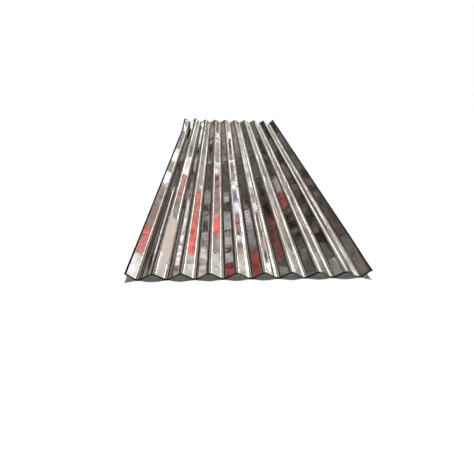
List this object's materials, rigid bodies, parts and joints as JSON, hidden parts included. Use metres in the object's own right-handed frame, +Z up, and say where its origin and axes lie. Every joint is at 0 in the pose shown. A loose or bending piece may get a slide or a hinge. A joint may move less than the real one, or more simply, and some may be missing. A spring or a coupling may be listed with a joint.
{
  "type": "corrugated metal sheet",
  "caption": "Corrugated metal sheet: thin coated steel rolled into parallel waves, with square-cut ends and turned-up long edges, for roofing, cladding or fencing.",
  "frame": {"origin": "middle of the sheet in plan, on the level surface that its valleys lie on", "axes": "+X across the waves to the right, +Y along the waves away from the near end, +Z up out of the valleys"},
  "size_m": [0.6654, 1.83, 0.0244],
  "materials": {
    "coated_steel": "bright zinc-alloy coating with faint roll lines, smudges and dull patches"
  },
  "bodies": {
    "root": {"corrugated_sheet": "coated_steel"}
  },
  "joints": []
}
